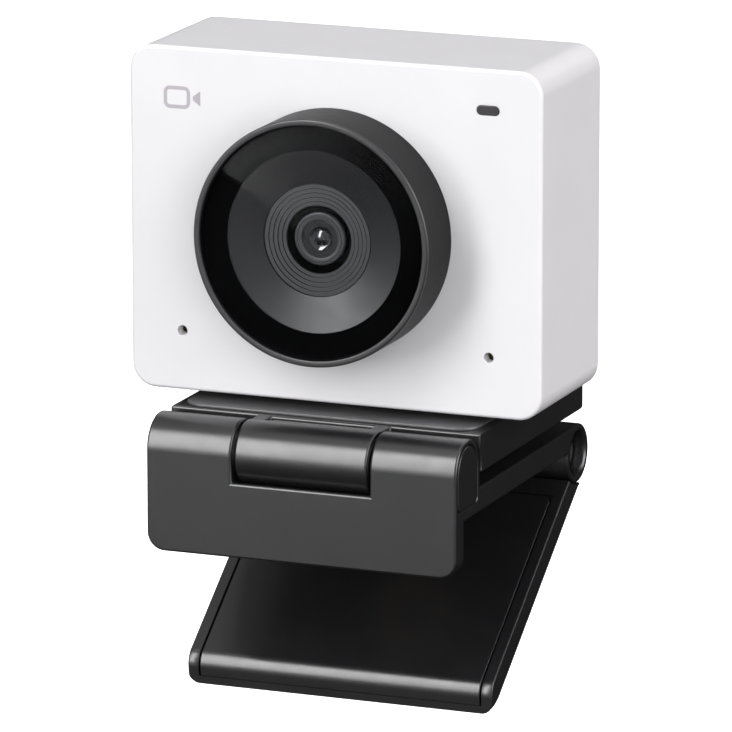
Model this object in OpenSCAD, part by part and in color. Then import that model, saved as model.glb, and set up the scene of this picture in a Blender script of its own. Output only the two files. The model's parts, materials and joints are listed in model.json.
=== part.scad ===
// Box webcam on a folding monitor clip.
// Millimetres, +Z up, +Y to the rear, X to the viewer's right.
// The origin is on the pad under the clip's shelf, which rests on the monitor.

/* [Camera head] */
// Width of the camera head
head_w = 60; // [50:0.5:70]
// Height of the camera head
head_h = 47.9; // [40:0.1:56]
// Depth of the camera head without the lens tube
head_d = 22.9; // [18:0.1:30]
// Corner radius of the head seen from the front
head_r = 3.4; // [1:0.1:6]
// Wall thickness of the head
wall = 1.8; // [1.2:0.1:2.5]
// Clear gap between the head and the cover under it
head_gap = 1; // [0.5:0.1:3]

/* [Lens] */
// Outer radius of the lens tube
tube_r = 17; // [14:0.1:20]
// Length of the lens tube in front of the face
tube_len = 8.7; // [5:0.1:12]
// Radius of the cover glass
glass_r = 16; // [13:0.1:19]
// Inner radius of the black ring behind the glass
mask_r = 12.55; // [10:0.05:14]
// Outer radius of the stepped rings
step_r = 7.75; // [6:0.05:9]
// Radius of the opening in front of the lens
iris_r = 4.7; // [3.9:0.1:5.5]
// Radius of the lens nose
nose_r = 3.65; // [3:0.05:4.2]

/* [Clip] */
// Width of the clip
clip_w = 45.1; // [36:0.1:54]
// Thickness of the shelf
shelf_t = 3.45; // [2.5:0.05:5]
// Thickness of the front lip
lip_t = 3.1; // [2:0.1:4]
// How far the lip hangs below the shelf
lip_drop = 7.35; // [4:0.05:12]
// Radius of the rounded lower corners of the lip
lip_r = 2.5; // [1:0.1:4]
// Radius of the front hinge barrel
front_r = 4.5; // [3.5:0.1:6]
// Radius of the rear hinge eyes
rear_r = 4.2; // [3:0.1:6]
// Width of the middle barrels of both hinges
barrel_w = 19.2; // [12:0.1:26]
// Gap at each end of the middle barrels
barrel_gap = 0.5; // [0.3:0.05:1]
// Radius of both hinge pins
pin_r = 1.5; // [1:0.1:2]

/* [Leg] */
// Angle of the leg below the shelf
leg_angle = 35.75; // [10:0.25:170]
// Length of the leg from its hinge
leg_len = 44.12; // [30:0.01:60]
// Thickness of the leg
leg_t = 3.4; // [2:0.05:5]
// Radius of the rounded toe
toe_r = 2.6; // [1.5:0.1:3]
// Width of the leg's side rails
rail_w = 1.6; // [1:0.1:4]
// Thickness of the leg's grip pad
grip_t = 1.2; // [0.6:0.1:2]

/* [Base block] */
// Width of the base block
block_w = 45.3; // [36:0.1:54]
// Length of the base block
block_l = 42.7; // [30:0.1:50]
// Height of the base block
block_h = 5.45; // [4:0.05:8]
// Width of the cover on the block
cover_w = 42.8; // [30:0.1:50]
// Height of the cover above the block
cover_h = 0.4; // [0.2:0.1:1]

/* [Hidden] */
$fn = 72;
pad_proud = 0.3;
shelf_z0 = pad_proud;
shelf_z1 = shelf_z0 + shelf_t;
lip_y1 = -20;
lip_y0 = lip_y1 - lip_t;
lip_z0 = shelf_z0 - lip_drop;
front_y = lip_y0 + front_r;
front_z = 6.85;
rear_y = 24.45;
rear_z = shelf_z1 + 0.05 - rear_r;
seat_clear = 0.35;
bore_clear = 0.05;
half_gap = barrel_w / 2 + barrel_gap;
cap_t = 1.2;
cap_r = front_r - 0.9;
cap_z0 = shelf_z0 + 1.75;
eye_r = 3.05;
eye_depth = 3;
notch_z = shelf_z0 + 3.05;
split_y = front_y + 6;

block_y0 = -14.35;
block_y1 = block_y0 + block_l;
block_z1 = 11.15;
block_z0 = block_z1 - block_h;
cover_z1 = block_z1 + cover_h;
cover_y0 = block_y0 + 0.5;
cover_y1 = block_y1 - 1.1;
floor_t = 1.3;
plug_t = 1.2;
cavity_w = 37;
cavity_y0 = -11.5;
cavity_y1 = 25.5;
screw_y = 0.8;
screw_r = 3.175;
screw_head_r = 6.4;
access_r = 4.6;

face_y = -10.65;
back_y = face_y + head_d;
head_z0 = cover_z1 + head_gap;
head_zc = head_z0 + head_h / 2;
lens_z = head_zc + 0.05;
inner_y0 = face_y + wall;
panel_y0 = back_y - wall;
panel_gap = 0.1;
post_x = 25.6;
post_z = 10;
stand_x = 20.2;
stand_z = 8.5;
board_y = 6;
board_t = 1.2;
sense_y = 2.4;
sense_t = 1;
mic_x = 22.4;
mic_z = head_zc - 15.6;
mic_r = 0.7;
light_x = 22.2;
light_z = head_zc + 18.3;
light_w = 3.3;
light_h = 1.35;
insert_r = 5;
insert_len = 7.8;
boss_h = 1.15;
usb_z = head_zc - 13;
usb_w = 8.94;
usb_h = 3.26;

black = "#1c1c1e";
white = "#e9e8ea";
steel = "#a9abb0";

// ---- shared shapes ----

// Extrudes a Y-Z outline across the width, centred on X = 0
module across(w) {
    rotate([90, 0, 90])
        linear_extrude(height = w, center = true)
            children();
}

// Extrudes an X-Z outline from y0 to y1
module along_y(y0, y1) {
    translate([0, y1, 0])
        rotate([90, 0, 0])
            linear_extrude(height = y1 - y0)
                children();
}

module rod_x(r, w) {
    rotate([0, 90, 0])
        cylinder(h = w, r = r, center = true);
}

// A rod from y0 to y1 at (x, z)
module rod_y(r, x, z, y0, y1) {
    translate([x, y1, z])
        rotate([90, 0, 0])
            cylinder(h = y1 - y0, r = r);
}

module round_rect(w, h, r) {
    square([w - 2 * r, h], center = true);
    square([w, h - 2 * r], center = true);
    for (sx = [-1, 1], sy = [-1, 1])
        translate([sx * (w / 2 - r), sy * (h / 2 - r)])
            circle(r = r);
}

module pill(w, h) {
    square([w - h, h], center = true);
    for (s = [-1, 1])
        translate([s * (w - h) / 2, 0])
            circle(r = h / 2);
}

// What is cut away to round one outward corner at the origin
module corner_cut(r) {
    difference() {
        translate([-r, -r])
            square([r + 1, r + 1]);
        translate([-r, -r])
            circle(r = r);
        translate([-r - 0.5, -r - 0.5])
            square([0.5, r + 2]);
    }
}

module ring_x(r_out, r_in, x0, x1) {
    translate([(x0 + x1) / 2, 0, 0])
        difference() {
            rod_x(r_out, x1 - x0);
            rod_x(r_in, x1 - x0 + 1);
        }
}

module ring_z(r_out, r_in, z0, z1) {
    translate([0, 0, z0])
        difference() {
            cylinder(h = z1 - z0, r = r_out);
            translate([0, 0, -0.5])
                cylinder(h = z1 - z0 + 1, r = r_in);
        }
}

// Local Z points forward out of the face, from the lens centre
module on_lens() {
    translate([0, face_y, lens_z])
        rotate([90, 0, 0])
            children();
}

module at_front_pivot() {
    translate([0, front_y, front_z])
        children();
}

module at_rear_pivot() {
    translate([0, rear_y, rear_z])
        children();
}

module at_head_corners(x, z) {
    for (sx = [-1, 1], sz = [-1, 1])
        translate([sx * x, 0, head_zc + sz * z])
            children();
}

// ---- clip ----

module bracket_outline() {
    translate([front_y, front_z])
        circle(r = front_r);
    translate([lip_y0, shelf_z0])
        square([2 * front_r, front_z - shelf_z0]);
    translate([lip_y0, lip_z0])
        square([lip_t, lip_drop + 1]);
    translate([lip_y0 + 1, shelf_z0])
        square([rear_y - lip_y0 - 1, shelf_t]);
    translate([rear_y, rear_z])
        circle(r = rear_r);
}

module cap_outline(r, z0) {
    translate([front_y, front_z])
        circle(r = r);
    translate([front_y - r, z0 + 0.8])
        square([2 * r, front_z - z0 - 0.8]);
    translate([front_y - r + 0.8, z0])
        square([2 * r - 1.6, 1]);
    for (s = [-1, 1])
        translate([front_y + s * (r - 0.8), z0 + 0.8])
            circle(r = 0.8);
}

// Shelf, lip and both hinges in one, before it is divided between two nodes
module bracket() {
    difference() {
        union() {
            across(clip_w)
                bracket_outline();
            translate([0, 0, shelf_z1 - 0.5])
                cylinder(h = boss_h + 0.5, r = insert_r + 1.4);
        }
        // seat and notch for the block's barrel
        translate([-half_gap, lip_y0 - 1, notch_z])
            cube([2 * half_gap, front_r + 1, 12]);
        translate([-half_gap, front_y - 0.01, shelf_z1])
            cube([2 * half_gap, front_r + 1, 12]);
        at_front_pivot()
            rod_x(front_r + seat_clear, 2 * half_gap);
        // seat and notch for the leg's barrel
        translate([-half_gap, rear_y, rear_z - 6])
            cube([2 * half_gap, 8, 12]);
        at_rear_pivot()
            rod_x(rear_r + seat_clear, 2 * half_gap);
        // hinge pin bores
        at_front_pivot()
            rod_x(pin_r, clip_w + 2);
        at_rear_pivot()
            rod_x(pin_r, clip_w + 2);
        // recesses at both ends
        for (s = [-1, 1]) {
            translate([s * (clip_w / 2 - cap_t / 2 + 0.5), 0, 0])
                across(cap_t + 1)
                    cap_outline(cap_r + 0.05, cap_z0 - 0.05);
            translate([s * (clip_w / 2 - eye_depth / 2 + 0.5), rear_y, rear_z])
                rod_x(eye_r, eye_depth + 1);
            translate([s * (clip_w / 2 - 0.15), rear_y, rear_z])
                rotate([0, s * 90, 0])
                    cylinder(h = 0.35, r1 = eye_r - 0.05, r2 = eye_r + 0.3,
                        center = true);
        }
        // rounded lower corners of the lip
        for (s = [0, 1])
            mirror([s, 0, 0])
                along_y(lip_y0 - 1, lip_y1 + 0.001)
                    translate([clip_w / 2, lip_z0])
                        mirror([0, 1])
                            corner_cut(lip_r);
        // pad recesses and the tripod insert's hole
        translate([0, 0, shelf_z0 + 0.25])
            cube([36.2, 34.2, 0.5], center = true);
        translate([0, lip_y1, (lip_z0 + shelf_z0) / 2])
            cube([38.2, 1, 4.7], center = true);
        translate([0, 0, -1])
            cylinder(h = shelf_z1 + boss_h + 2, r = insert_r);
    }
}

module clip_shelf() {
    color(black)
    intersection() {
        bracket();
        translate([-clip_w, split_y, -clip_w])
            cube([2 * clip_w, 2 * clip_w, 2 * clip_w]);
    }
}

module clip_front() {
    color(black)
    intersection() {
        bracket();
        translate([-clip_w, split_y - 2 * clip_w, -clip_w])
            cube([2 * clip_w, 2 * clip_w, 2 * clip_w]);
    }
}

module lip_pad() {
    color("#2a2a2c")
    translate([0, lip_y1 - 0.15, (lip_z0 + shelf_z0) / 2])
        cube([38, 0.7, 4.5], center = true);
}

module shelf_pad() {
    color("#2a2a2c")
    difference() {
        translate([0, 0, 0.4])
            cube([36, 34, 0.8], center = true);
        translate([0, 0, -1])
            cylinder(h = 3, r = insert_r + 0.4);
    }
}

module tripod_insert() {
    color("#b59a5b")
    difference() {
        ring_z(insert_r, screw_r, shelf_z0, shelf_z1 + boss_h);
        translate([0, 0, shelf_z0 - 0.01])
            cylinder(h = 0.5, r1 = screw_r + 0.5, r2 = screw_r);
    }
}

module front_hinge_pin() {
    color(steel)
    at_front_pivot()
        rod_x(pin_r, clip_w - 2 * cap_t - 0.1);
}

module front_washers() {
    color(steel)
    at_front_pivot()
        for (s = [-1, 1])
            ring_x(front_r - 1.1, pin_r, s * half_gap - (s + 1) * 0.2,
                s * half_gap + (1 - s) * 0.2);
}

module hinge_end_caps() {
    color(black)
    for (s = [-1, 1])
        translate([s * (clip_w / 2 - cap_t / 2), 0, 0])
            across(cap_t)
                cap_outline(cap_r, cap_z0);
}

module rear_hinge_pin() {
    color(steel)
    at_rear_pivot()
        difference() {
            union() {
                translate([-0.3, 0, 0])
                    rod_x(pin_r, clip_w - 2 * eye_depth + 2.6);
                translate([clip_w / 2 - eye_depth + 0.65, 0, 0])
                    rod_x(2.4, 1.3);
            }
            // hexagon socket in the head
            translate([clip_w / 2 - eye_depth + 1.3, 0, 0])
                rotate([0, 90, 0])
                    cylinder(h = 1.6, r = 1.15, center = true, $fn = 6);
        }
}

module rear_hinge_nut() {
    color(steel)
    at_rear_pivot()
        translate([-clip_w / 2 + eye_depth - 0.7, 0, 0])
            rotate([0, 90, 0])
                difference() {
                    cylinder(h = 1.4, r = 2.6, center = true, $fn = 6);
                    cylinder(h = 3, r = pin_r, center = true);
                }
}

module rear_washers() {
    color(steel)
    at_rear_pivot()
        for (s = [-1, 1])
            ring_x(rear_r - 0.9, pin_r, s * half_gap - (s + 1) * 0.2,
                s * half_gap + (1 - s) * 0.2);
}

// ---- leg, drawn along +X of an outline whose origin is the rear pivot ----

leg_top = -0.74;
leg_bottom = leg_top - leg_t;
toe_turn = 62;
toe_c = leg_top - toe_r;
grip_s = 7.4;
grip_run = 1.15;
toe_corner_r = 1.7;
toe_depth = 6;
toe_run = (toe_c + toe_r * cos(toe_turn) - leg_bottom) / sin(toe_turn);
toe_s = leg_len - toe_r * sin(toe_turn) - toe_run * cos(toe_turn);

// The outline's two axes are the distance along the leg and the height
// above the pivot; the leg points forward and down
module in_leg() {
    at_rear_pivot()
        rotate([leg_angle, 0, 0])
            mirror([0, 1, 0])
                children();
}

// The plate's upper face from s0 round the toe, then run down the slope,
// all moved inwards by inset
function toe_path(inset, s0, run) =
    let (r = toe_r - inset)
    concat(
        [[s0, leg_top - inset]],
        [for (a = [0:toe_turn / 8:toe_turn]) [toe_s + r * sin(a), toe_c + r * cos(a)]],
        [[toe_s + r * sin(toe_turn) + run * cos(toe_turn),
            toe_c + r * cos(toe_turn) - run * sin(toe_turn)]]);

module leg_outline(s0) {
    polygon(concat(toe_path(0, s0, toe_run), [[s0, leg_bottom]]));
}

// The strip that the grip pad fills, standing margin out of its seat
module grip_outline(margin) {
    floor_path = toe_path(grip_t, grip_s, grip_run);
    last = len(floor_path) - 1;
    polygon(concat(toe_path(-margin, grip_s, grip_run),
        [for (i = [0:last]) floor_path[last - i]]));
}

// Rounds the lower corners of the toe, seen square to its slope
module toe_corner_cuts() {
    for (s = [0, 1])
        mirror([s, 0, 0])
            translate([clip_w / 2, leg_len, leg_bottom])
                rotate([-toe_turn, 0, 0])
                    translate([0, 0, 1 - toe_depth])
                        linear_extrude(height = toe_depth)
                            corner_cut(toe_corner_r);
}

module leg() {
    color(black)
    in_leg()
        difference() {
            union() {
                across(clip_w)
                    leg_outline(2);
                rod_x(rear_r, barrel_w);
                translate([-barrel_w / 2, 0, leg_bottom])
                    cube([barrel_w, 4, leg_t]);
            }
            // room for the clip's rear eyes
            for (s = [-1, 1])
                translate([s * (barrel_w + clip_w + 1) / 4, 0, 0])
                    rod_x(rear_r + 0.3, (clip_w + 1 - barrel_w) / 2);
            rod_x(pin_r + bore_clear, barrel_w + 2);
            across(clip_w - 2 * rail_w)
                grip_outline(1);
            toe_corner_cuts();
        }
}

module leg_pad() {
    color("#232325")
    in_leg()
        intersection() {
            across(clip_w)
                grip_outline(0);
            translate([0, grip_s + 0.2 + leg_len / 2, leg_bottom - 1])
                linear_extrude(height = toe_depth)
                    round_rect(clip_w - 2 * rail_w - 0.5, leg_len, 1.2);
        }
}

// ---- base block ----

module block_outline() {
    difference() {
        translate([block_y0, block_z0])
            square([block_l, block_h]);
        translate([block_y1, block_z0])
            mirror([0, 1])
                corner_cut(1.9);
    }
}

module base_block() {
    color(black)
    difference() {
        union() {
            across(block_w)
                block_outline();
            at_front_pivot()
                rod_x(front_r, barrel_w);
            translate([-barrel_w / 2, front_y, front_z - 1.15])
                cube([barrel_w, block_y0 - front_y + 1, block_z1 - front_z + 1.15]);
        }
        // room for the clip's outer barrels
        for (s = [-1, 1])
            translate([s * (barrel_w + block_w + 1) / 4, front_y, front_z])
                rod_x(front_r + 0.4, (block_w + 1 - barrel_w) / 2);
        at_front_pivot()
            rod_x(pin_r + bore_clear, barrel_w + 2);
        // rounded rear corners
        for (s = [0, 1])
            mirror([s, 0, 0])
                translate([block_w / 2, block_y1, block_z0 - 1])
                    linear_extrude(height = block_h + 2)
                        corner_cut(3);
        // hollow under the cover
        translate([0, (cavity_y0 + cavity_y1) / 2, block_z0 + floor_t])
            linear_extrude(height = block_h)
                round_rect(cavity_w, cavity_y1 - cavity_y0, 2);
        // reach the head's screw from below
        translate([0, screw_y, block_z0 - 1])
            cylinder(h = floor_t + 2, r = access_r);
        // slot across the top of the barrel
        translate([-7.6, front_y + 1.05, block_z1 - 0.8])
            cube([15.2, 2.6, 3]);
    }
}

module block_cover() {
    color(black)
    difference() {
        union() {
            translate([0, (cover_y0 + cover_y1) / 2, block_z1])
                linear_extrude(height = cover_h)
                    round_rect(cover_w, cover_y1 - cover_y0, 3);
            translate([0, (cavity_y0 + cavity_y1) / 2, block_z1 - plug_t])
                linear_extrude(height = plug_t + 0.1)
                    round_rect(cavity_w - 0.2, cavity_y1 - cavity_y0 - 0.2, 1.9);
        }
        translate([0, screw_y, block_z0])
            cylinder(h = block_h + 3, r = screw_r + 0.075);
    }
}

// ---- swivel under the head ----

module head_screw() {
    color(steel)
    translate([0, screw_y, 0])
        difference() {
            union() {
                translate([0, 0, block_z0 + floor_t + 0.3])
                    cylinder(h = 2, r = screw_head_r);
                translate([0, 0, block_z0 + floor_t + 1])
                    cylinder(h = head_z0 + 6.5 - block_z0 - floor_t, r = screw_r);
            }
            // coin slot
            translate([-7, -0.7, block_z0 + floor_t])
                cube([14, 1.4, 1.3]);
        }
}

module swivel_washer() {
    color("#3a3a3d")
    translate([0, screw_y, 0])
        ring_z(screw_head_r - 0.3, screw_r + 0.1,
            block_z0 + floor_t + 2.35, block_z1 - plug_t - 0.05);
}

module swivel_ring() {
    color(black)
    translate([0, screw_y, 0])
        ring_z(8, screw_r + 0.1, cover_z1 + 0.03, head_z0);
}

module head_insert() {
    color("#b59a5b")
    translate([0, screw_y, 0])
        ring_z(insert_r, screw_r, head_z0, head_z0 + insert_len);
}

// ---- camera head housing ----

module head_shell() {
    color(white)
    difference() {
        union() {
            difference() {
                translate([0, 0, head_zc])
                    along_y(face_y, back_y)
                        round_rect(head_w, head_h, head_r);
                translate([0, 0, head_zc])
                    along_y(inner_y0, back_y + 1)
                        round_rect(head_w - 2 * wall, head_h - 2 * wall,
                            head_r - wall);
            }
            at_head_corners(post_x, post_z)
                rod_y(2.3, 0, 0, inner_y0 - 0.5, panel_y0);
            at_head_corners(stand_x, stand_z)
                rod_y(2.2, 0, 0, inner_y0 - 0.5, board_y);
            translate([0, screw_y, head_z0 + 1])
                cylinder(h = insert_len - 1, r = insert_r + 1.6);
        }
        rod_y(tube_r - 1.4, 0, lens_z, face_y - 1, inner_y0 + 1);
        for (s = [-1, 1])
            rod_y(mic_r, s * mic_x, mic_z, face_y - 1, inner_y0 + 1);
        translate([light_x, 0, light_z])
            along_y(face_y - 1, inner_y0 + 1)
                pill(light_w, light_h);
        at_head_corners(post_x, post_z)
            rod_y(0.9, 0, 0, 4, panel_y0 + 1);
        at_head_corners(stand_x, stand_z)
            rod_y(0.8, 0, 0, 1.5, board_y + 1);
        translate([0, screw_y, head_z0 - 1])
            cylinder(h = insert_len + 2, r = insert_r);
    }
}

module rear_cover() {
    color(white)
    difference() {
        translate([0, 0, head_zc])
            along_y(panel_y0, back_y)
                round_rect(head_w - 2 * wall - 2 * panel_gap,
                    head_h - 2 * wall - 2 * panel_gap,
                    head_r - wall - panel_gap);
        at_head_corners(post_x, post_z) {
            rod_y(1.1, 0, 0, panel_y0 - 1, back_y + 1);
            rod_y(2, 0, 0, back_y - 1.2, back_y + 1);
        }
        translate([0, 0, usb_z])
            along_y(panel_y0 - 1, back_y + 1)
                pill(usb_w + 0.5, usb_h + 0.5);
    }
}

module cover_screws() {
    color(steel)
    at_head_corners(post_x, post_z)
        difference() {
            union() {
                rod_y(1.9, 0, 0, back_y - 1.2, back_y - 0.1);
                rod_y(0.9, 0, 0, 5, back_y - 1);
            }
            translate([0, back_y, 0])
                cube([0.45, 1.2, 2.2], center = true);
            translate([0, back_y, 0])
                cube([2.2, 1.2, 0.45], center = true);
        }
}

// ---- lens tube ----

ledge_z = tube_len - 1.5;
glass_z0 = tube_len - 1.4;
glass_z1 = tube_len - 0.6;
cone_z0 = 3;
cone_z1 = tube_len - 1.55;

module lens_bezel() {
    color("#3b3b3f")
    on_lens()
        rotate_extrude()
            polygon([[tube_r - 2.6, -4], [tube_r - 1.5, -4],
                [tube_r - 1.5, 0], [tube_r, 0],
                [tube_r, tube_len - 0.25], [tube_r - 0.25, tube_len],
                [glass_r + 0.2, tube_len], [glass_r + 0.1, tube_len - 0.1],
                [glass_r + 0.1, ledge_z], [tube_r - 1.8, ledge_z],
                [tube_r - 1.8, cone_z0], [tube_r - 2.6, cone_z0]]);
}

module bezel_nut() {
    color(black)
    on_lens()
        ring_z(tube_r + 1.5, tube_r - 1.45, -wall - 1.9, -wall);
}

module cover_glass() {
    color("#20262c")
    on_lens()
        translate([0, 0, glass_z0])
            cylinder(h = glass_z1 - glass_z0, r = glass_r);
}

module mask_ring() {
    color("#050506")
    on_lens()
        ring_z(glass_r, mask_r, ledge_z, glass_z0);
}

module lens_cone() {
    step = (step_r - iris_r) / 5;
    color("#55565a")
    on_lens()
        rotate_extrude()
            polygon([[tube_r - 1.85, cone_z0], [tube_r - 1.85, cone_z1],
                [mask_r + 0.2, cone_z1], [mask_r + 0.05, cone_z1 - 0.1],
                [step_r, tube_len - 2.7],
                [step_r, tube_len - 2.82], [step_r - step, tube_len - 2.82],
                [step_r - step, tube_len - 2.94],
                [step_r - 2 * step, tube_len - 2.94],
                [step_r - 2 * step, tube_len - 3.06],
                [step_r - 3 * step, tube_len - 3.06],
                [step_r - 3 * step, tube_len - 3.18],
                [step_r - 4 * step, tube_len - 3.18],
                [step_r - 4 * step, tube_len - 3.3],
                [iris_r, tube_len - 3.3], [iris_r, tube_len - 4.1],
                [8.5, tube_len - 4.6], [8.5, cone_z0]]);
}

// ---- lens ----

glass_bore = 5.4;
barrel_r = 7;
barrel_z0 = -9.6;

module lens_barrel() {
    color("#18181a")
    on_lens()
        rotate_extrude()
            polygon([[glass_bore, barrel_z0], [barrel_r, barrel_z0],
                [barrel_r, 3.4], [nose_r, 3.4], [nose_r, 5],
                [nose_r - 0.15, 5.1], [3.15, 5.1], [3.1, 4.75],
                [2.75, 4.75], [2.45, 4.5], [2.45, 2.8],
                [glass_bore, 2.8]]);
}

// A lens blank with one domed face
module lens_blank(r, z0, z1, dome) {
    ball = (r * r + dome * dome) / (2 * dome);
    intersection() {
        translate([0, 0, z0])
            cylinder(h = z1 - z0, r = r);
        translate([0, 0, z1 - ball])
            sphere(r = ball);
    }
}

module lens_front_element() {
    color("#2b3440")
    on_lens()
        lens_blank(2.4, 3, 4.4, 0.7);
}

module lens_mid_element() {
    color("#2b3440")
    on_lens()
        lens_blank(glass_bore - 0.05, -0.6, 2.4, 1.2);
}

module lens_rear_element() {
    color("#2b3440")
    on_lens()
        lens_blank(glass_bore - 0.05, -7.6, -4.4, 1);
}

module lens_spacers() {
    color("#18181a")
    on_lens() {
        ring_z(glass_bore - 0.05, 4.3, -5, -0.6);
        ring_z(glass_bore - 0.05, 4.9, -8.2, -7.6);
    }
}

module lens_retainer() {
    color("#18181a")
    on_lens()
        ring_z(glass_bore, 4.2, barrel_z0 - 0.2, -8.2);
}

module lens_holder() {
    color("#18181a")
    on_lens()
        difference() {
            union() {
                translate([0, 0, -13.05])
                    linear_extrude(height = 2.85)
                        round_rect(18, 18, 1);
                translate([0, 0, -10.3])
                    cylinder(h = 6.3, r = 8.8);
            }
            translate([0, 0, -9.85])
                cylinder(h = 8, r = barrel_r);
            translate([0, 0, -14])
                linear_extrude(height = 2.6)
                    square([14, 14], center = true);
            translate([0, 0, -12])
                linear_extrude(height = 1.2)
                    square([11, 11], center = true);
            translate([0, 0, -12])
                linear_extrude(height = 3)
                    square([9, 8], center = true);
        }
}

module ir_filter() {
    color("#6a8f9c")
    on_lens()
        translate([0, 0, -11.1])
            cube([10.9, 10.9, 0.6], center = true);
}

module image_sensor() {
    color("#30343b")
    on_lens()
        translate([0, 0, -12.6])
            cube([11.5, 9.2, 0.9], center = true);
}

// ---- electronics ----

module sensor_board() {
    color("#1d4a37")
    difference() {
        translate([0, 0, lens_z])
            along_y(sense_y, sense_y + sense_t)
                round_rect(26, 26, 1);
        for (sx = [-1, 1], sz = [-1, 1])
            rod_y(0.8, sx * 10.8, lens_z + sz * 10.8, 0, 6);
    }
}

module board_spacers() {
    color(steel)
    for (sx = [-1, 1], sz = [-1, 1])
        difference() {
            rod_y(1.6, sx * 10.8, lens_z + sz * 10.8,
                sense_y + sense_t, board_y);
            rod_y(0.8, sx * 10.8, lens_z + sz * 10.8, sense_y, board_y + 1);
        }
}

module board_connector() {
    color("#d8d2c0")
    translate([0, 0, lens_z - 8])
        along_y(sense_y + sense_t, board_y)
            square([11, 3.4], center = true);
}

module main_board() {
    color("#1d4a37")
    difference() {
        translate([0, 0, head_zc + 2])
            along_y(board_y, board_y + board_t)
                round_rect(44.6, 35, 1.2);
        at_head_corners(stand_x, stand_z)
            rod_y(1, 0, 0, board_y - 1, board_y + 3);
        translate([0, 0, usb_z])
            along_y(board_y - 1, board_y + 3)
                square([usb_w + 0.2, usb_h + 0.2], center = true);
    }
}

module board_screws() {
    color(steel)
    at_head_corners(stand_x, stand_z)
        difference() {
            union() {
                rod_y(1.8, 0, 0, board_y + board_t, board_y + board_t + 1.1);
                rod_y(0.8, 0, 0, 2, board_y + board_t + 0.5);
            }
            translate([0, board_y + board_t + 1.1, 0])
                cube([0.4, 1.2, 2], center = true);
            translate([0, board_y + board_t + 1.1, 0])
                cube([2, 1.2, 0.4], center = true);
        }
}

module processor() {
    color("#26272b")
    translate([0, 0, head_zc + 3])
        along_y(board_y + board_t, board_y + board_t + 1.2)
            square([14, 14], center = true);
}

module thermal_pad() {
    color("#9aa7b5")
    translate([0, 0, head_zc + 3])
        along_y(board_y + board_t + 1.2, board_y + board_t + 1.8)
            square([14, 14], center = true);
}

module heat_spreader() {
    color("#b8bbc0")
    translate([0, 0, head_zc + 4])
        along_y(board_y + board_t + 1.8, panel_y0 - 0.1)
            round_rect(36, 26, 2);
}

module usb_shell() {
    color(steel)
    translate([0, 0, usb_z])
        difference() {
            along_y(back_y - 7.3, back_y - 0.2)
                pill(usb_w, usb_h);
            along_y(back_y - 6.9, back_y + 1)
                pill(usb_w - 0.6, usb_h - 0.6);
        }
}

module usb_tongue() {
    color("#1a1a1b")
    translate([0, 0, usb_z])
        along_y(back_y - 6.9, back_y - 0.9)
            square([6.69, 0.7], center = true);
}

module mic_stack(y0, y1) {
    for (s = [-1, 1])
        translate([s * mic_x, 0, mic_z])
            along_y(y0, y1)
                children();
}

module microphones() {
    color("#c9b26a")
    difference() {
        mic_stack(inner_y0 + 0.6, inner_y0 + 1.6)
            square([3.8, 3], center = true);
        for (s = [-1, 1])
            rod_y(0.3, s * mic_x, mic_z, inner_y0, inner_y0 + 1);
    }
}

module mic_gaskets() {
    color("#2a2a2c")
    difference() {
        mic_stack(inner_y0, inner_y0 + 0.6)
            circle(r = 1.5);
        for (s = [-1, 1])
            rod_y(mic_r + 0.05, s * mic_x, mic_z, inner_y0 - 1, inner_y0 + 1);
    }
}

module mic_boards() {
    color("#1d4a37")
    mic_stack(inner_y0 + 1.6, inner_y0 + 2.2)
        square([7, 5], center = true);
}

module status_window() {
    color("#5b5560")
    translate([light_x, 0, light_z]) {
        along_y(face_y, inner_y0 + 0.1)
            pill(light_w - 0.06, light_h - 0.06);
        along_y(inner_y0 + 0.02, inner_y0 + 0.6)
            pill(light_w + 1, light_h + 1);
    }
}

module status_led() {
    color("#e8e2c8")
    translate([light_x, 0, light_z])
        along_y(inner_y0 + 0.7, inner_y0 + 1.3)
            square([1.6, 0.8], center = true);
}

module status_board() {
    color("#1d4a37")
    translate([light_x, 0, light_z])
        along_y(inner_y0 + 1.3, inner_y0 + 1.9)
            square([7, 4.6], center = true);
}

clip_shelf();
clip_front();
lip_pad();
shelf_pad();
tripod_insert();
front_hinge_pin();
front_washers();
hinge_end_caps();
rear_hinge_pin();
rear_hinge_nut();
rear_washers();
leg();
leg_pad();
base_block();
block_cover();
head_screw();
swivel_washer();
swivel_ring();
head_insert();
head_shell();
rear_cover();
cover_screws();
lens_bezel();
bezel_nut();
cover_glass();
mask_ring();
lens_cone();
lens_barrel();
lens_front_element();
lens_mid_element();
lens_rear_element();
lens_spacers();
lens_retainer();
lens_holder();
ir_filter();
image_sensor();
sensor_board();
board_spacers();
board_connector();
main_board();
board_screws();
processor();
thermal_pad();
heat_spreader();
usb_shell();
usb_tongue();
microphones();
mic_gaskets();
mic_boards();
status_window();
status_led();
status_board();
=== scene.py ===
"""Looks for a box webcam on a folding monitor clip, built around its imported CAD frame."""

import json
from math import asin, cos, degrees, hypot, pi, radians, sin

import bmesh
import bpy
from mathutils import Matrix, Vector


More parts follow.
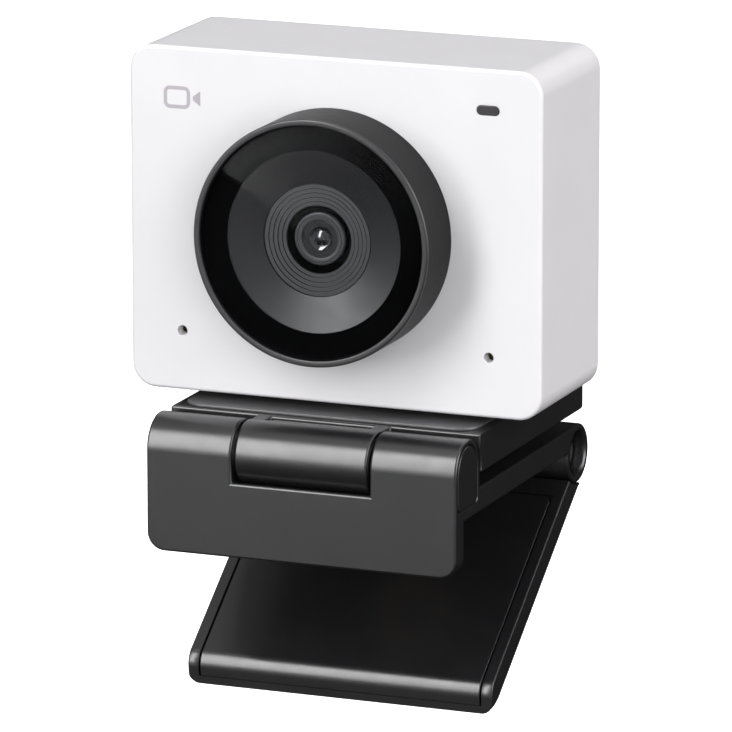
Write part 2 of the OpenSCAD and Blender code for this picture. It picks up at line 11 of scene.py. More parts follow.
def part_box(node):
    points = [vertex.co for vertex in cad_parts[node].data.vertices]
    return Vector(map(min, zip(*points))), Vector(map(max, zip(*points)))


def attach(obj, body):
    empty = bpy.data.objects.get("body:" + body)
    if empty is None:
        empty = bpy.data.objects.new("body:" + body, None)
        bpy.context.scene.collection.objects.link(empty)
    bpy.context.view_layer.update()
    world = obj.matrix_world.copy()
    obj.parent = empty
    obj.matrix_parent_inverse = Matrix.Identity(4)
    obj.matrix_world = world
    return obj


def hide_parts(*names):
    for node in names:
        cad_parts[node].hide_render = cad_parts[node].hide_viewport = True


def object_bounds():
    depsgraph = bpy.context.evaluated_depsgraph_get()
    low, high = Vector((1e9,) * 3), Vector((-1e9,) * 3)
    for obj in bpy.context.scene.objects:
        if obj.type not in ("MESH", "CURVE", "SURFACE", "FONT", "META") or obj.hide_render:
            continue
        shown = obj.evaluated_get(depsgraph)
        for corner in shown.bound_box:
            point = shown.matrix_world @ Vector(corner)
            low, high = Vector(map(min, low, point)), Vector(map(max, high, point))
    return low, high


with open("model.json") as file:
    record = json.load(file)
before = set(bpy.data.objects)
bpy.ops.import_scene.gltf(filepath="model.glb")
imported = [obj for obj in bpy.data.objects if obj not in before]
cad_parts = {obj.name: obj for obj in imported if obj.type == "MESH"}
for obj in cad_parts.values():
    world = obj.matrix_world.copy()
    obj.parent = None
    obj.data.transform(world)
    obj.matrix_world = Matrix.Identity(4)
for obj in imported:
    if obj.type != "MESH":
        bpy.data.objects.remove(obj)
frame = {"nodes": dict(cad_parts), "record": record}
cad_box = [list(corner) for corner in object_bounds()]
scene = bpy.context.scene
MM = 0.001

# ---- camera: the photograph's viewing angle, metres and degrees ----

CAM_AZIMUTH = 21.749
CAM_ELEVATION = 13.271
CAM_ROLL = -0.039
CAM_DISTANCE = 0.99004
CAM_TARGET = Vector((0.000655, -0.00065, 0.01571))
CAM_LENS = 354.86
SENSOR = 36.0  # mm, as is CAM_LENS


def outward(azimuth, elevation):
    """The direction from the object to a place; azimuth 0 is in front, 90 on its right."""
    a, e = radians(azimuth), radians(elevation)
    return Vector((sin(a) * cos(e), -cos(a) * cos(e), sin(e)))


def add_camera():
    data = bpy.data.cameras.new("camera")
    data.lens = CAM_LENS
    data.sensor_width = SENSOR
    data.clip_start = 0.05
    data.clip_end = 20
    cam = bpy.data.objects.new("camera", data)
    way = outward(CAM_AZIMUTH, CAM_ELEVATION)
    cam.location = CAM_TARGET + way * CAM_DISTANCE
    turn = (-way).to_track_quat("-Z", "Y").to_matrix() @ Matrix.Rotation(
        radians(CAM_ROLL), 3, "Z"
    )
    cam.rotation_euler = turn.to_euler()
    scene.collection.objects.link(cam)
    scene.camera = cam


# ---- materials ----


def new_material(name):
    mat = bpy.data.materials.new(name)
    mat.use_nodes = True
    tree = mat.node_tree
    return mat, tree, tree.nodes["Principled BSDF"]


def add_node(tree, kind, **values):
    node = tree.nodes.new(kind)
    for key, value in values.items():
        if key in node.inputs:
            node.inputs[key].default_value = value
        else:
            setattr(node, key, value)
    return node


def noise(tree, size_mm, detail=3.0, stretch=(1, 1, 1)):
    """Noise whose lumps are about size_mm across, fixed to the piece."""
    place = add_node(tree, "ShaderNodeTexCoord")
    scale = add_node(tree, "ShaderNodeMapping")
    scale.inputs["Scale"].default_value = [s / (size_mm * MM) for s in stretch]
    tree.links.new(place.outputs["Object"], scale.inputs["Vector"])
    tex = add_node(tree, "ShaderNodeTexNoise", Scale=1.0, Detail=detail)
    tree.links.new(scale.outputs["Vector"], tex.inputs["Vector"])
    return tex.outputs["Fac"]


def spread(tree, value, low, high):
    """Stretches noise, which lies near 0.5, over low to high."""
    fit = add_node(tree, "ShaderNodeMapRange")
    fit.inputs["From Min"].default_value = 0.3
    fit.inputs["From Max"].default_value = 0.7
    fit.inputs["To Min"].default_value = low
    fit.inputs["To Max"].default_value = high
    tree.links.new(value, fit.inputs["Value"])
    return fit.outputs["Result"]


def tinted(tree, fac, dark, light):
    """Mixes from dark to light as fac goes from 0 to 1."""
    mix = add_node(tree, "ShaderNodeMix", data_type="RGBA")
    for socket in mix.inputs:
        if socket.name == "A" and socket.type == "RGBA":
            socket.default_value = (*dark, 1)
        if socket.name == "B" and socket.type == "RGBA":
            socket.default_value = (*light, 1)
    tree.links.new(fac, mix.inputs["Factor"])
    return [s for s in mix.outputs if s.type == "RGBA"][0]


def bumped(tree, shader, layers):
    """Stacks bump layers, each (height, depth in mm), under the shader's normal."""
    last = None
    for height, depth in layers:
        bump = add_node(tree, "ShaderNodeBump", Strength=1.0, Distance=depth * MM)
        tree.links.new(height, bump.inputs["Height"])
        if last is not None:
            tree.links.new(last.outputs["Normal"], bump.inputs["Normal"])
        last = bump
    tree.links.new(last.outputs["Normal"], shader.inputs["Normal"])


def moulded(name, color, rough, contrast=0.06, grain=0.12, depth=0.0015, ior=1.5):
    """Moulded plastic: a fine spark-eroded grain, faint flow marks and uneven sheen."""
    mat, tree, shader = new_material(name)
    flow = noise(tree, 9, 2)
    fine = noise(tree, grain, 2)
    dark = [c * (1 - contrast) for c in color]
    light = [min(1, c * (1 + contrast)) for c in color]
    tree.links.new(tinted(tree, spread(tree, flow, 0, 1), dark, light), shader.inputs["Base Color"])
    tree.links.new(
        spread(tree, noise(tree, 2.5, 4), rough * 0.92, rough * 1.08), shader.inputs["Roughness"]
    )
    shader.inputs["IOR"].default_value = ior
    bumped(tree, shader, [(fine, depth)])
    return mat


def turned_metal(name, color, rough, axis="Y", metallic=1.0, groove=0.05, depth=0.0004, ior=1.5):
    """Turned metal: fine lines round the turning axis and an uneven sheen."""
    mat, tree, shader = new_material(name)
    along = tuple(1.0 if letter == axis else 0.02 for letter in "XYZ")
    tree.links.new(
        tinted(tree, spread(tree, noise(tree, 3), 0, 1), [c * 0.92 for c in color], color),
        shader.inputs["Base Color"],
    )
    tree.links.new(
        spread(tree, noise(tree, groove, 2, along), rough * 0.85, rough * 1.15),
        shader.inputs["Roughness"],
    )
    shader.inputs["Metallic"].default_value = metallic
    shader.inputs["IOR"].default_value = ior
    bumped(tree, shader, [(noise(tree, groove, 2, along), depth)])
    return mat


def rubbery(name, color):
    """Matt rubber with a pebbled skin and faint dust."""
    mat, tree, shader = new_material(name)
    dust = noise(tree, 1.6, 4)
    light = [c * 1.35 + 0.002 for c in color]
    shade = tinted(tree, spread(tree, dust, 0, 1), color, light)
    tree.links.new(shade, shader.inputs["Base Color"])
    tree.links.new(spread(tree, noise(tree, 0.8), 0.5, 0.62), shader.inputs["Roughness"])
    bumped(tree, shader, [(noise(tree, 0.18, 2), 0.004)])
    return mat


def clear_glass(name, tint, ior=1.5):
    """Glass that lets lamps through to what is behind it."""
    mat, tree, shader = new_material(name)
    shader.inputs["Base Color"].default_value = (*tint, 1)
    shader.inputs["Roughness"].default_value = 0.0
    shader.inputs["IOR"].default_value = ior
    shader.inputs["Transmission Weight"].default_value = 1.0
    path = add_node(tree, "ShaderNodeLightPath")
    clear = add_node(tree, "ShaderNodeBsdfTransparent")
    clear.inputs["Color"].default_value = (*tint, 1)
    mix = add_node(tree, "ShaderNodeMixShader")
    out = tree.nodes["Material Output"]
    tree.links.new(path.outputs["Is Shadow Ray"], mix.inputs["Fac"])
    tree.links.new(shader.outputs["BSDF"], mix.inputs[1])
    tree.links.new(clear.outputs["BSDF"], mix.inputs[2])
    tree.links.new(mix.outputs["Shader"], out.inputs["Surface"])
    return mat


def coated_lens(name, color, sheen):
    """A dark lens whose coating tints what it mirrors."""
    mat, tree, shader = new_material(name)
    tree.links.new(
        tinted(tree, spread(tree, noise(tree, 2), 0, 1), color, [c * 1.3 for c in color]),
        shader.inputs["Base Color"],
    )
    shader.inputs["Roughness"].default_value = 0.03
    shader.inputs["IOR"].default_value = 2.2
    shader.inputs["Specular Tint"].default_value = (*sheen, 1)
    return mat


def circuit(name, color):
    """Green solder mask with tracks under it."""
    mat, tree, shader = new_material(name)
    tracks = noise(tree, 1.2, 1)
    tree.links.new(
        tinted(tree, spread(tree, tracks, 0, 1), color, [c * 1.8 for c in color]),
        shader.inputs["Base Color"],
    )
    tree.links.new(spread(tree, noise(tree, 0.5), 0.25, 0.4), shader.inputs["Roughness"])
    bumped(tree, shader, [(tracks, 0.01)])
    return mat


WHITE = moulded("white_satin", (0.82, 0.813, 0.83), 0.42, 0.012, 0.16, 0.0012)
BLACK = moulded("black_satin", (0.0095, 0.0095, 0.0105), 0.3, 0.12, 0.14, 0.0012, ior=1.9)
COVER = moulded("black_cover", (0.07, 0.07, 0.073), 0.4, 0.12, 0.2, 0.0018, ior=2.0)
INNER = moulded("black_matt", (0.008, 0.008, 0.009), 0.55, 0.1, 0.2, 0.002)
NYLON = moulded("dark_nylon", (0.03, 0.03, 0.033), 0.5, 0.08, 0.25, 0.002)
CREAM = moulded("cream_plastic", (0.72, 0.66, 0.5), 0.5, 0.03)
CHIP = moulded("chip_package", (0.03, 0.031, 0.036), 0.5, 0.15, 0.1, 0.003)
THERMAL = rubbery("thermal_pad_grey", (0.3, 0.34, 0.4))
GRIP = rubbery("grip_rubber", (0.016, 0.016, 0.0175))
RIM = turned_metal("tube_rim", (0.014, 0.014, 0.0155), 0.34, metallic=0.0, ior=1.85)
TUBE = turned_metal("tube_anodised", (0.005, 0.005, 0.0056), 0.42, metallic=0.0, ior=1.22)
STEEL_X = turned_metal("steel_turned_x", (0.56, 0.56, 0.58), 0.3, "X")
STEEL_Y = turned_metal("steel_turned_y", (0.56, 0.56, 0.58), 0.3, "Y")
STEEL_Z = turned_metal("steel_turned_z", (0.56, 0.56, 0.58), 0.3, "Z")
BRASS = turned_metal("brass_turned", (0.62, 0.46, 0.22), 0.3, "Z")
ALUMINIUM = turned_metal("aluminium_sheet", (0.7, 0.71, 0.73), 0.38, "Y")
BOARD = circuit("solder_mask", (0.01, 0.09, 0.05))
GLASS = clear_glass("cover_glass_clear", (0.97, 0.98, 1.0), ior=1.1)
FILTER = clear_glass("filter_glass", (0.6, 0.85, 0.9))
MASK = moulded("mask_print", (0.0012, 0.0012, 0.0014), 0.3, 0.1, 0.3, 0.0002, ior=1.06)
CONE = moulded("cone_satin", (0.003, 0.003, 0.0034), 0.36, 0.05, 0.08, 0.0003, ior=1.66)
STEPS = moulded("steps_satin", (0.035, 0.035, 0.037), 0.34, 0.05, 0.08, 0.0003, ior=1.6)
LENS = coated_lens("lens_coated", (0.003, 0.003, 0.004), (0.95, 0.96, 1.0))
SMOKE = moulded("window_smoke", (0.04, 0.037, 0.043), 0.25, 0.05, 0.2, 0.0003)
PRINT = moulded("printed_grey", (0.49, 0.45, 0.5), 0.5, 0.05, 0.1, 0.001)

# ---- mesh helpers ----


def finished(name, bm, body, mat, nodes=(), sharp=35):
    """Turns bm into a piece that rides on body and stands for nodes."""
    bmesh.ops.recalc_face_normals(bm, faces=bm.faces)
    mesh = bpy.data.meshes.new(name)
    bm.to_mesh(mesh)
    bm.free()
    mesh.materials.append(mat)
    for poly in mesh.polygons:
        poly.use_smooth = True
    mesh.set_sharp_from_angle(angle=radians(sharp))
    piece = bpy.data.objects.new(name, mesh)
    scene.collection.objects.link(piece)
    weigh = piece.modifiers.new("weighted_normals", "WEIGHTED_NORMAL")
    weigh.keep_sharp = True
    weigh.weight = 90
    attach(piece, body)
    if nodes:
        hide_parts(*nodes)
    return piece


def from_nodes(*nodes):
    """A copy of the nodes' solids with the flat faces joined up."""
    bm = bmesh.new()
    for n in nodes:
        bm.from_mesh(frame["nodes"][n].data)
    bmesh.ops.remove_doubles(bm, verts=bm.verts, dist=0.004 * MM)
    return bm


def flatten(bm, degrees=0.6):
    bmesh.ops.dissolve_limit(
        bm, angle_limit=radians(degrees), verts=bm.verts, edges=bm.edges, delimit=set()
    )


def round_edges(bm, width_mm, segments=3, least=28, where=None, most=180, convex=False):
    """Rounds the edges that turn by least to most degrees and pass where(middle)."""
    picked = []
    for e in bm.edges:
        if len(e.link_faces) != 2:
            continue
        turn = e.calc_face_angle(0)
        if not radians(least) <= turn <= radians(most) or (convex and not e.is_convex):
            continue
        middle = (e.verts[0].co + e.verts[1].co) / 2
        if where is None or where(middle):
            picked.append(e)
    if picked:
        bmesh.ops.bevel(
            bm,
            geom=picked,
            offset=width_mm * MM,
            offset_type="OFFSET",
            segments=segments,
            profile=0.5,
            affect="EDGES",
            clamp_overlap=False,
            loop_slide=True,
        )


def refill(bm, y_mm):
    """Fills the flat side at y_mm afresh, right round its holes."""
    bm.normal_update()
    y = y_mm * MM
    flat = [f for f in bm.faces if all(abs(v.co.y - y) < 0.002 * MM for v in f.verts)]
    bmesh.ops.delete(bm, geom=flat, context="FACES")
    rim = [e for e in bm.edges if e.is_boundary]
    bmesh.ops.triangle_fill(bm, edges=rim, use_beauty=True, normal=(0, 1, 0))


def arc(cx, cy, r, start, end, steps):
    """Points round (cx, cy) from start to end degrees."""
    return [
        (
            cx + r * cos(radians(start + (end - start) * i / steps)),
            cy + r * sin(radians(start + (end - start) * i / steps)),
        )
        for i in range(steps + 1)
    ]


FINE_TURN = 240  # sides of the large round pieces
TURN = 160  # sides of the small ones
LENS_LOW, LENS_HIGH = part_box("lens_bezel")
LENS_Z = (LENS_LOW.z + LENS_HIGH.z) / 2 / MM
FACE_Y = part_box("head_shell")[0].y / MM


def lathe(profile, steps=TURN, closed=True):
    """Turns (radius, distance in front of the face) in mm round the lens axis."""
    bm = bmesh.new()
    rings = []
    for r, d in profile:
        y = (FACE_Y - d) * MM
        if r < 1e-6:
            rings.append([bm.verts.new((0, y, LENS_Z * MM))])
            continue
        rings.append(
            [
                bm.verts.new(
                    (
                        r * MM * sin(2 * pi * i / steps),
                        y,
                        (LENS_Z + r * cos(2 * pi * i / steps)) * MM,
                    )
                )
                for i in range(steps)
            ]
        )
    pairs = list(zip(rings, rings[1:]))
    if closed:
        pairs.append((rings[-1], rings[0]))
    for a, b in pairs:
        for i in range(steps):
            j = (i + 1) % steps
            if len(a) == 1 and len(b) == 1:
                continue
            if len(a) == 1:
                bm.faces.new((a[0], b[i], b[j]))
            elif len(b) == 1:
                bm.faces.new((a[i], a[j], b[0]))
            else:
                bm.faces.new((a[i], a[j], b[j], b[i]))
    return bm


def plain(node, mat, width=0.06, segments=2):
    """A small or inner node, copied with its edges broken."""
    bm = from_nodes(node)
    flatten(bm)
    round_edges(bm, width, segments)
    body = next(b for b, names in BODIES.items() if node in names)
    return finished(node + "_made", bm, body, mat, (node,))


RECORD = frame["record"]
BODIES = RECORD["behaviour"]["bodies"]

# ---- camera head ----

HEAD_LOW, HEAD_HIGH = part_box("head_shell")
HEAD_MID = (HEAD_LOW + HEAD_HIGH) / 2
HEAD_ROUND = 0.5


def round_rim(bm, y, inward, width_mm, steps):
    """Rounds the head's outline where it meets the flat end at y."""
    edge_x = HEAD_HIGH.x - 1.2 * MM
    edge_z = (HEAD_HIGH.z - HEAD_LOW.z) / 2 - 1.2 * MM

    def outer(v):
        on_edge = abs(v.co.x) > edge_x or abs(v.co.z - HEAD_MID.z) > edge_z
        near = abs(v.co.x) > edge_x - 2.4 * MM and abs(v.co.z - HEAD_MID.z) > edge_z - 2.4 * MM
        return abs(v.co.y - y) < 0.01 * MM and (on_edge or near)

    rim = [
        e
        for e in bm.edges
        if all(outer(v) for v in e.verts) and e.calc_face_angle(0) > radians(60)
    ]
    cap = {f for e in rim for f in e.link_faces if abs(f.normal.y) > 0.9}
    out = {}
    for e in rim:
        side = next(f for f in e.link_faces if f not in cap)
        for v in e.verts:
            out.setdefault(v, Vector()).__iadd__(side.normal)
    spots = {v.co.copy().freeze(): out[v].normalized() for v in out}
    bmesh.ops.split_edges(bm, edges=rim)
    ends = {}
    for v in bm.verts:
        key = v.co.copy().freeze()
        if key in spots and abs(v.co.y - y) < 0.01 * MM:
            on_cap = all(f in cap for f in v.link_faces)
            ends.setdefault(key, {})["cap" if on_cap else "wall"] = v
    rings = {}
    width = width_mm * MM
    for key, pair in ends.items():
        way = spots[key]
        start, line = Vector(key), []
        for i in range(steps + 1):
            turn = pi / 2 * i / steps
            spot = start - way * width * (1 - cos(turn))
            spot.y += inward * width * (1 - sin(turn))
            if i == 0:
                pair["wall"].co = spot
                line.append(pair["wall"])
            elif i == steps:
                pair["cap"].co = spot
                line.append(pair["cap"])
            else:
                line.append(bm.verts.new(spot))
        rings[key] = line
    walls = {line[0]: line for line in rings.values()}
    for e in list(bm.edges):
        a, b = e.verts
        if a in walls and b in walls and len(e.link_faces) == 1:
            first, second = walls[a], walls[b]
            for i in range(steps):
                bm.faces.new((first[i], second[i], second[i + 1], first[i + 1]))


def build_head():
    bm = from_nodes("head_shell")
    flatten(bm)
    bm.normal_update()
    round_rim(bm, HEAD_LOW.y, 1, HEAD_ROUND, 6)
    bm.normal_update()
    round_rim(bm, HEAD_HIGH.y, -1, HEAD_ROUND, 6)

    def small_front_hole(p):
        away = hypot(p.x, p.z - LENS_Z * MM)
        inside = abs(p.x) < HEAD_HIGH.x - 2 * MM and abs(p.z - HEAD_MID.z) < 22 * MM
        return abs(p.y - HEAD_LOW.y) < 0.02 * MM and away > 18 * MM and inside

    round_edges(bm, 0.12, 3, 28, small_front_hole)
    finished("head_shell_made", bm, "head", WHITE, ("head_shell",))

    bm = from_nodes("rear_cover")
    flatten(bm)
    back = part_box("rear_cover")[1].y / MM
    round_edges(bm, 0.3, 3, 28, lambda p: abs(p.y - back * MM) < 0.02 * MM)
    refill(bm, back)
    finished("rear_cover_made", bm, "head", WHITE, ("rear_cover",))


MARK_X = -23.0
MARK_UP = 16.9


def build_mark():
    """A plain camera pictogram printed on the front: a body outline and a pointer."""
    x, z = MARK_X, HEAD_MID.z / MM + MARK_UP
    y = HEAD_LOW.y
    bm = bmesh.new()

    def plate(outer, inner=None):
        sheets = []
        for depth in (0.0, -0.02):
            rows = [[bm.verts.new((px * MM, y + depth * MM, pz * MM)) for px, pz in outer]]
            if inner:
                rows.append([bm.verts.new((px * MM, y + depth * MM, pz * MM)) for px, pz in inner])
            sheets.append(rows)
        for k in range(len(sheets[0])):
            low, high = sheets[0][k], sheets[1][k]
            for i in range(len(low)):
                j = (i + 1) % len(low)
                bm.faces.new((low[i], low[j], high[j], high[i]))
        for rows in sheets:
            if inner:
                for i in range(len(outer)):
                    j = (i + 1) % len(outer)
                    bm.faces.new((rows[0][i], rows[0][j], rows[1][j], rows[1][i]))
            else:
                bm.faces.new(rows[0])

    def rounded(w, h, r, steps=6):
        line = []
        for sx, sz, start in ((1, 1, 0), (-1, 1, 90), (-1, -1, 180), (1, -1, 270)):
            line += arc(x + sx * (w / 2 - r), z + sz * (h / 2 - r), r, start, start + 90, steps)
        return line

    plate(rounded(3.9, 3.1, 0.9), rounded(2.9, 2.1, 0.4))
    tip = x + 2.35
    plate([(tip, z - 0.25), (tip + 1.1, z - 1.05), (tip + 1.1, z + 1.05), (tip, z + 0.25)])
    finished("front_mark", bm, "head", PRINT)


def build_tube():
    r = LENS_HIGH.x / MM
    front = FACE_Y - LENS_LOW.y / MM
    glass_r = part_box("cover_glass")[1].x / MM
    ledge, seam = front - 1.5, front - 0.3
    profile = [(r - 2.6, -4), (r - 1.5, -4), (r - 1.5, -0.05), (r, -0.05), (r, seam)]
    profile += [(glass_r + 0.1, seam), (glass_r + 0.1, ledge), (r - 1.8, ledge)]
    profile += [(r - 1.8, 3), (r - 2.6, 3)]
    bm = lathe(profile, FINE_TURN)
    finished("lens_tube", bm, "head", TUBE, ("lens_bezel",))

    profile = [(glass_r + 0.1, seam), (r, seam), (r, front - 0.22)]
    profile += arc(r - 0.22, front - 0.22, 0.22, 15, 90, 5)
    profile += arc(glass_r + 0.25, front - 0.12, 0.12, 90, 180, 4)
    bm = lathe(profile, FINE_TURN)
    finished("lens_tube_rim", bm, "head", RIM, ("lens_bezel",))


MASK_R = 12.55


def build_glass():
    low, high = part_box("cover_glass")
    r = high.x / MM
    front, back = FACE_Y - low.y / MM, FACE_Y - high.y / MM
    profile = [(0, back), (r - 0.08, back), (r, back + 0.08)]
    profile += arc(r - 0.12, front - 0.12, 0.12, 0, 90, 4) + [(0, front)]
    bm = lathe(profile, FINE_TURN, closed=False)
    glass = finished("cover_glass_made", bm, "head", GLASS, ("cover_glass",))
    # what lies behind the glass is lit as if the glass were not there
    glass.visible_diffuse = False
    glass.visible_glossy = False

    low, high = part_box("mask_ring")
    front, back = FACE_Y - low.y / MM, FACE_Y - high.y / MM
    profile = [(MASK_R, back), (r, back), (r, front)]
    profile += [(MASK_R + 0.03, front), (MASK_R, front - 0.03)]
    bm = lathe(profile, FINE_TURN)
    finished("mask_ring_made", bm, "head", MASK, ("mask_ring",))


def build_cone():
    """The dark cone, and the five steps down to the opening in front of the lens."""
    front = FACE_Y - LENS_LOW.y / MM
    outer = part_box("lens_cone")[1].x / MM
    rim, first, last, steps = MASK_R, 7.75, 4.7, 5
    tread = (first - last) / steps
    profile = [(8.5, 3), (outer, 3), (outer, front - 1.55), (rim + 0.2, front - 1.55)]
    profile += [(rim, front - 1.68), (first + 0.06, front - 2.66)]
    profile += [(first + 0.06, front - 2.9), (8.5, front - 3)]
    bm = lathe(profile, FINE_TURN)
    finished("lens_cone_made", bm, "head", CONE, ("lens_cone",), 20)

    r, d = first, front - 2.7
    profile = []
    for _ in range(steps):
        profile += [(r, d), (r - 0.02, d - 0.24), (r - 0.1, d - 0.24), (r - 0.12, d - 0.12)]
        r, d = r - tread, d - 0.12
        profile += [(r + 0.04, d)]
    profile += [(r, d - 0.1), (last + 0.5, front - 3.6), (last + 0.5, front - 4.2)]
    profile += [(8, front - 4.6), (8, front - 2.95), (first, front - 2.85)]
    bm = lathe(profile, FINE_TURN)
    finished("lens_steps_made", bm, "head", STEPS, ("lens_cone",), 20)


def build_lens():
    def barrel(name, profile, mat):
        finished(name, lathe(profile), "head", mat, ("lens_barrel",), 25)

    # the barrel: its body, the ring at its front, and the steps down to the front element
    r = 3.65
    profile = [(5.4, -9.6), (7, -9.6), (7, 3.4), (r, 3.4), (r, 4.6), (3, 4.6), (3, 2.8), (5.4, 2.8)]
    barrel("lens_barrel_made", profile, MASK)

    profile = [(2.6, 4.6), (r, 4.6), (r, 4.9)]
    profile += arc(r - 0.16, 4.94, 0.16, 0, 90, 4)
    profile += [(3.3, 5.1), (3.24, 5.0), (3.16, 5.0), (3.1, 5.1)]
    profile += arc(2.72, 4.98, 0.12, 90, 180, 3)
    barrel("lens_barrel_face", profile, STEPS)

    profile = [(2.45, 2.8), (3, 2.8), (3, 4.6), (2.58, 4.6)]
    mouth, floor, step, drop = 2.58, 4.8, 0.24, 0.06
    for _ in range(4):
        profile += [(mouth, floor + 0.03), (mouth - 0.03, floor)]
        mouth, floor = mouth - step, floor - drop
        profile += [(mouth + 0.03, floor + drop)]
    profile += [(mouth, floor + drop - 0.03), (mouth, floor), (1.9, 4.0), (2.45, 3.85)]
    barrel("lens_barrel_mouth", profile, INNER)

    def element(name, node, radius, back, front, dome):
        ball = (radius * radius + dome * dome) / (2 * dome)
        half = asin(radius / ball)
        steps = 24
        cap = [
            (ball * sin(half * (1 - i / steps)), front - ball + ball * cos(half * (1 - i / steps)))
            for i in range(steps + 1)
        ]
        cap[-1] = (0, front)
        bm = lathe([(0, back), (radius, back)] + cap, 128, closed=False)
        finished(name, bm, "head", LENS, (node,), 40)

    # the front element: a small dome inside a dished collar
    ball, rim_r, apex, collar_r, dish = 1.9, 1.05, 4.92, 1.6, 1.0
    half = degrees(asin(rim_r / ball))
    dome = arc(0, apex - ball, ball, 90 - half, 90, 24)
    dome[-1] = (0, apex)
    low = dome[0][1]
    collar = arc(rim_r, low + dish, dish, -90 + degrees(asin((collar_r - rim_r) / dish)), -90, 10)
    profile = [(0, 3), (2.4, 3), (2.4, 3.8), (collar_r, 3.98), (collar_r, collar[0][1] - 0.03)]
    bm = lathe(profile + collar[:-1] + dome, 128, closed=False)
    finished("lens_front_made", bm, "head", LENS, ("lens_front_element",), 20)
    element("lens_mid_made", "lens_mid_element", 5.35, -0.6, 2.4, 1.2)
    element("lens_rear_made", "lens_rear_element", 5.35, -7.6, -4.4, 1)


# ---- clip, leg and base ----


LIP_T = 3.1
LIP_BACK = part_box("clip_front")[0].y / MM + LIP_T


def build_clip():
    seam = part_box("clip_shelf")[0].y
    bm = from_nodes("clip_front", "clip_shelf")
    inside = [f for f in bm.faces if all(abs(v.co.y - seam) < 0.003 * MM for v in f.verts)]
    bmesh.ops.delete(bm, geom=inside, context="FACES")
    bmesh.ops.remove_doubles(bm, verts=bm.verts, dist=0.01 * MM)
    flatten(bm)
    round_edges(bm, 0.35, 4, 40)
    refill(bm, LIP_BACK)
    finished("clip_body", bm, "clip", BLACK, ("clip_front", "clip_shelf"))


def build_base():
    low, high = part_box("base_block")

    def front_corner(spot):
        return high.x - abs(spot.x) < 0.05 * MM and spot.y - low.y < 0.05 * MM

    bm = from_nodes("base_block")
    flatten(bm)
    round_edges(bm, 0.75, 5, 40, front_corner)
    round_edges(bm, 0.3, 4, 40)
    finished("base_block_made", bm, "base", BLACK, ("base_block",))
    bm = from_nodes("block_cover")
    flatten(bm)
    round_edges(bm, 0.12, 3, 40)
    finished("block_cover_made", bm, "base", COVER, ("block_cover",))


def build_leg():
    low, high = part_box("leg_pad")
    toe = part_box("leg")[0].z + 1.2 * MM

    def by_pad(spot):
        return all(low[k] - 0.4 * MM < spot[k] < high[k] + 0.4 * MM for k in range(3))

    bm = from_nodes("leg")
    flatten(bm)
    round_edges(bm, 0.22, 3, 40, lambda p: p.z > toe and not by_pad(p), 105)
    bm.normal_update()
    round_edges(bm, 0.08, 2, 40, lambda p: by_pad(p) and abs(p.x) > high.x - 3 * MM, convex=True)
    finished("leg_made", bm, "leg", BLACK, ("leg",))
    bm = from_nodes("leg_pad")
    flatten(bm)
    round_edges(bm, 0.12, 3, 40)
    finished("leg_pad_made", bm, "leg", BLACK, ("leg_pad",))


def build_small():
    for node in ("lip_pad", "shelf_pad", "mic_gaskets"):
        plain(node, GRIP)
    for node in ("front_hinge_pin", "front_washers", "rear_hinge_pin"):
        plain(node, STEEL_X)
    for node in ("rear_hinge_nut", "rear_washers"):
        plain(node, STEEL_X)
    for node in ("cover_screws", "board_screws", "board_spacers", "usb_shell"):
        plain(node, STEEL_Y, width=0.04)
    plain("hinge_end_caps", BLACK, width=0.15, segments=3)
    plain("head_screw", STEEL_Z)
    plain("head_insert", BRASS)
    plain("tripod_insert", BRASS)
    plain("swivel_washer", NYLON)
    plain("swivel_ring", NYLON)
    for node in ("bezel_nut", "lens_spacers", "lens_retainer", "lens_holder", "usb_tongue"):
        plain(node, INNER, width=0.04)
    for node in ("sensor_board", "main_board", "mic_boards", "status_board"):
        plain(node, BOARD, width=0.03)
    for node in ("image_sensor", "processor"):
        plain(node, CHIP)
    plain("ir_filter", FILTER, width=0.04)
    plain("board_connector", CREAM)
    plain("status_led", CREAM, width=0.04)
    plain("thermal_pad", THERMAL, width=0.04)
    plain("heat_spreader", ALUMINIUM)
    plain("microphones", BRASS, width=0.04)
    plain("status_window", SMOKE, width=0.1, segments=3)


# ---- light and floor ----

WORLD_AHEAD = 0.39
WORLD_BEHIND = 0.03
CARD_START = (-15.5, 10.6)
CARD_RUN = (30.0, -19.7)
CARD_RISE = (11.0, 16.7)
CARD_REACH = 0.645
CARD_LEVEL = 16.0
LIGHTS_AIM = Vector((0, 0, 0.02))
LIGHTS_AWAY = 1.6


def add_softbox(name, azimuth, elevation, width, height, power, tint=(1, 1, 1)):
    data = bpy.data.lights.new(name, "AREA")
    data.shape = "RECTANGLE"
    data.size = width
    data.size_y = height
    data.energy = power
    data.color = tint
    lamp = bpy.data.objects.new(name, data)
    way = outward(azimuth, elevation)
    lamp.location = LIGHTS_AIM + way * LIGHTS_AWAY
    lamp.rotation_euler = (-way).to_track_quat("-Z", "Y").to_euler()
    scene.collection.objects.link(lamp)
    return lamp


def faded(tree, value, start, end, low, high):
    """Runs smoothly from low to high as value goes from start to end."""
    fit = add_node(tree, "ShaderNodeMapRange", interpolation_type="SMOOTHSTEP")
    fit.inputs["From Min"].default_value = start
    fit.inputs["From Max"].default_value = end
    fit.inputs["To Min"].default_value = low
    fit.inputs["To Max"].default_value = high
    tree.links.new(value, fit.inputs["Value"])
    return fit.outputs["Result"]


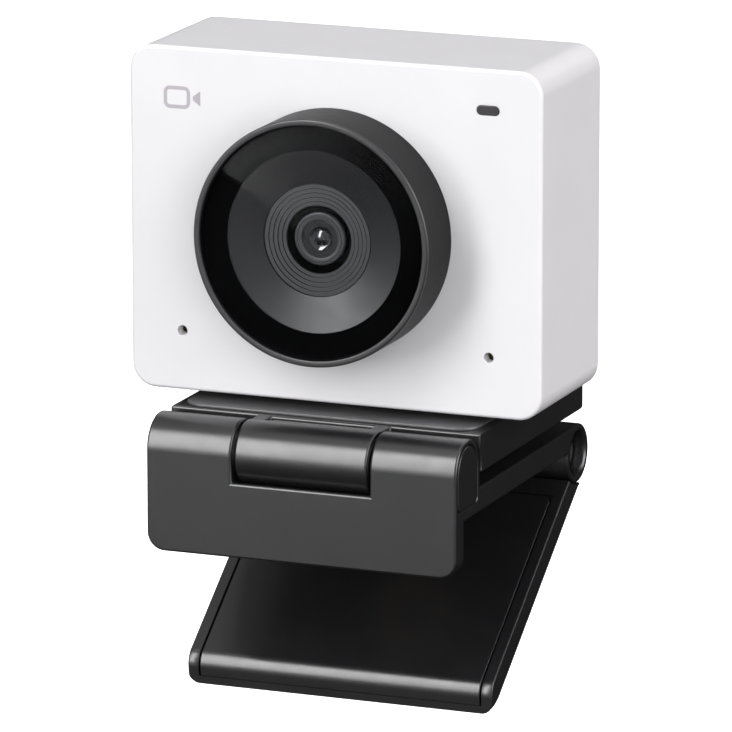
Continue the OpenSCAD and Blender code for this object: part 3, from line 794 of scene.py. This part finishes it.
def add_stage():
    drop = cad_box[0][2] - 0.05
    wall, sweep, height, steps = 6.0, 2.0, 8.0, 48
    profile = [(0, 0)] + arc(wall - sweep, sweep, sweep, -90, 0, 8) + [(wall, height)]
    bm = bmesh.new()
    rings = [
        [
            bm.verts.new((r * cos(2 * pi * i / steps), r * sin(2 * pi * i / steps), drop + rise))
            for i in range(steps if r else 1)
        ]
        for r, rise in profile
    ]
    for a, b in zip(rings, rings[1:]):
        for i in range(steps):
            j = (i + 1) % steps
            bm.faces.new((a[0], b[i], b[j]) if len(a) == 1 else (a[i], b[i], b[j], a[j]))
    mesh = bpy.data.meshes.new("floor")
    bm.to_mesh(mesh)
    bm.free()
    mat, tree, shader = new_material("floor_paper")
    shader.inputs["Base Color"].default_value = (0.9, 0.9, 0.9, 1)
    shader.inputs["Roughness"].default_value = 0.9
    shader.inputs["Emission Color"].default_value = (1, 1, 1, 1)
    shader.inputs["Emission Strength"].default_value = 1.0
    mesh.materials.append(mat)
    floor = bpy.data.objects.new("floor", mesh)
    floor.visible_diffuse = False
    floor.visible_glossy = False
    floor.visible_shadow = False
    scene.collection.objects.link(floor)

    world = bpy.data.worlds.new("studio")
    world.use_nodes = True
    scene.world = world
    tree = world.node_tree
    place = add_node(tree, "ShaderNodeTexCoord")
    split = add_node(tree, "ShaderNodeSeparateXYZ")
    tree.links.new(place.outputs["Generated"], split.inputs["Vector"])
    ahead = faded(tree, split.outputs["Y"], 0.5, -0.9, WORLD_BEHIND, WORLD_AHEAD)
    above = faded(tree, split.outputs["Z"], -0.6, -0.1, 0.15, 1.0)
    level = add_node(tree, "ShaderNodeMath", operation="MULTIPLY")
    tree.links.new(ahead, level.inputs[0])
    tree.links.new(above, level.inputs[1])
    back = tree.nodes["Background"]
    back.inputs["Color"].default_value = (1, 1, 1, 1)
    tree.links.new(level.outputs["Value"], back.inputs["Strength"])


def add_card():
    """A slanted card whose edge shows in the cover glass, brightest near that edge."""
    glass_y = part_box("cover_glass")[0].y
    eye = scene.camera.location.copy()
    eye.y = 2 * glass_y - eye.y
    centre = Vector((0, glass_y, LENS_Z * MM))

    def behind(x, z):
        """Where the card must be to show at (x, z) mm on the glass."""
        spot = centre + Vector((x, 0, z)) * MM
        return spot + (spot - eye) * CARD_REACH

    bm = bmesh.new()
    rows = 8
    lines = []
    for i in range(rows + 1):
        t = i / rows
        low = (CARD_START[0] + t * CARD_RUN[0], CARD_START[1] + t * CARD_RUN[1])
        high = (low[0] + CARD_RISE[0], low[1] + CARD_RISE[1])
        lines.append((bm.verts.new(behind(*low)), bm.verts.new(behind(*high))))
    for (a, b), (c, d) in zip(lines, lines[1:]):
        bm.faces.new((a, c, d, b))
    shade = bm.loops.layers.color.new("shade")
    for k, face in enumerate(bm.faces):
        for loop in face.loops:
            on_next = loop.vert in lines[k + 1]
            level = 1 - (k + on_next) / rows
            loop[shade] = (level, level, level, 1)
    mesh = bpy.data.meshes.new("card")
    bm.to_mesh(mesh)
    bm.free()
    mat, tree, shader = new_material("card_paper")
    paint = add_node(tree, "ShaderNodeVertexColor", layer_name="shade")
    shader.inputs["Base Color"].default_value = (0, 0, 0, 1)
    tree.links.new(paint.outputs["Color"], shader.inputs["Emission Color"])
    shader.inputs["Emission Strength"].default_value = CARD_LEVEL
    mesh.materials.append(mat)
    card = bpy.data.objects.new("card", mesh)
    card.visible_camera = False
    card.visible_diffuse = False
    card.visible_shadow = False
    scene.collection.objects.link(card)


def add_lights():
    """Each softbox: azimuth, elevation, width, height, power. Two are not mirrored by gloss."""
    add_softbox("key", -28, 27, 0.5, 1.63, 18)
    fill = add_softbox("front", 32, 15, 1.0, 1.4, 10)
    fill.visible_glossy = False
    add_softbox("side", 85, 20, 1.2, 1.2, 17, (1.0, 0.965, 0.995))
    add_softbox("top", 0, 89, 1.2, 1.2, 4.5)
    wash = add_softbox("top_wash", 0, 89, 1.2, 1.2, 9.3)
    wash.visible_glossy = False


add_camera()
build_head()
build_mark()
build_tube()
build_glass()
build_cone()
build_lens()
build_clip()
build_base()
build_leg()
build_small()
add_stage()
add_card()
add_lights()
scene.view_settings.view_transform = "Standard"
